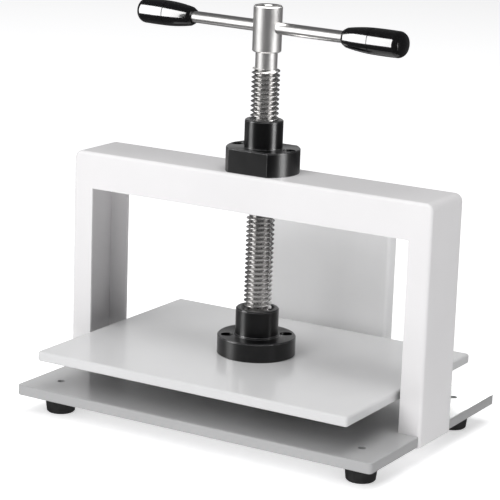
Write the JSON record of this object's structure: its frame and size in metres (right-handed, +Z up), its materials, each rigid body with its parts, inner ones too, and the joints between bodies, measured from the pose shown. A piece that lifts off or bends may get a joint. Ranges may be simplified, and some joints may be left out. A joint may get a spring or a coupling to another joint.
{
  "type": "bookbinding press",
  "caption": "Bench screw press for book blocks: platen on a T-handle spindle under a channel arch, on a footed base plate.",
  "frame": {"origin": "on the ground, in the middle of the press's outline seen from above", "axes": "+X to the right along the arch, +Y to the back where the rear stop is, +Z up along the spindle"},
  "size_m": [0.3476, 0.243, 0.3596],
  "materials": {
    "base_paint": "satin pale grey enamel",
    "frame_paint": "satin off-white enamel",
    "platen_paint": "glossy pale grey enamel",
    "stop_paint": "satin pale grey enamel",
    "black_finish": "glossy black",
    "bright_steel": "turned bright steel",
    "black_plastic": "glossy black moulding",
    "brass": "machined",
    "black_screws": "black oxide",
    "zinc_screws": "zinc plated",
    "rubber": "matt black"
  },
  "bodies": {
    "root": {"base_plate": "base_paint", "foot_washers": "zinc_screws", "foot_screws": "black_screws", "arch_frame": "frame_paint", "arch_screws": "zinc_screws", "nut_backing_plate": "zinc_screws", "spindle_nut": "black_finish", "nut_screws": "black_screws", "rear_stop": "stop_paint", "rear_stop_screws": "zinc_screws", "foot_front_left": "rubber", "foot_front_right": "rubber", "foot_back_left": "rubber", "foot_back_right": "rubber"},
    "platen": {"platen": "platen_paint", "platen_hub": "black_finish", "hub_screws": "black_screws", "thrust_washer": "brass"},
    "spindle": {"spindle": "bright_steel", "retaining_ring": "black_screws", "handle_bar": "bright_steel", "handle_knob_right": "black_plastic", "handle_knob_left": "black_plastic", "knob_insert_right": "brass", "knob_insert_left": "brass", "bar_set_screw": "black_screws"}
  },
  "joints": [
    {"name": "platen_travel", "type": "slide", "parent": "root", "child": "platen", "axis": [0, 0, 1], "range_m": [-0.0256, 0.1082]},
    {"name": "screw_turn", "type": "hinge", "parent": "platen", "child": "spindle", "pos_m": [0, -0.0099, 0.2], "axis": [0, 0, 1], "range_deg": [-2286, 9720]}
  ],
  "couplings": [
    {"joint": "platen_travel", "follows": "screw_turn", "m_per_rad": 0.00063662}
  ]
}
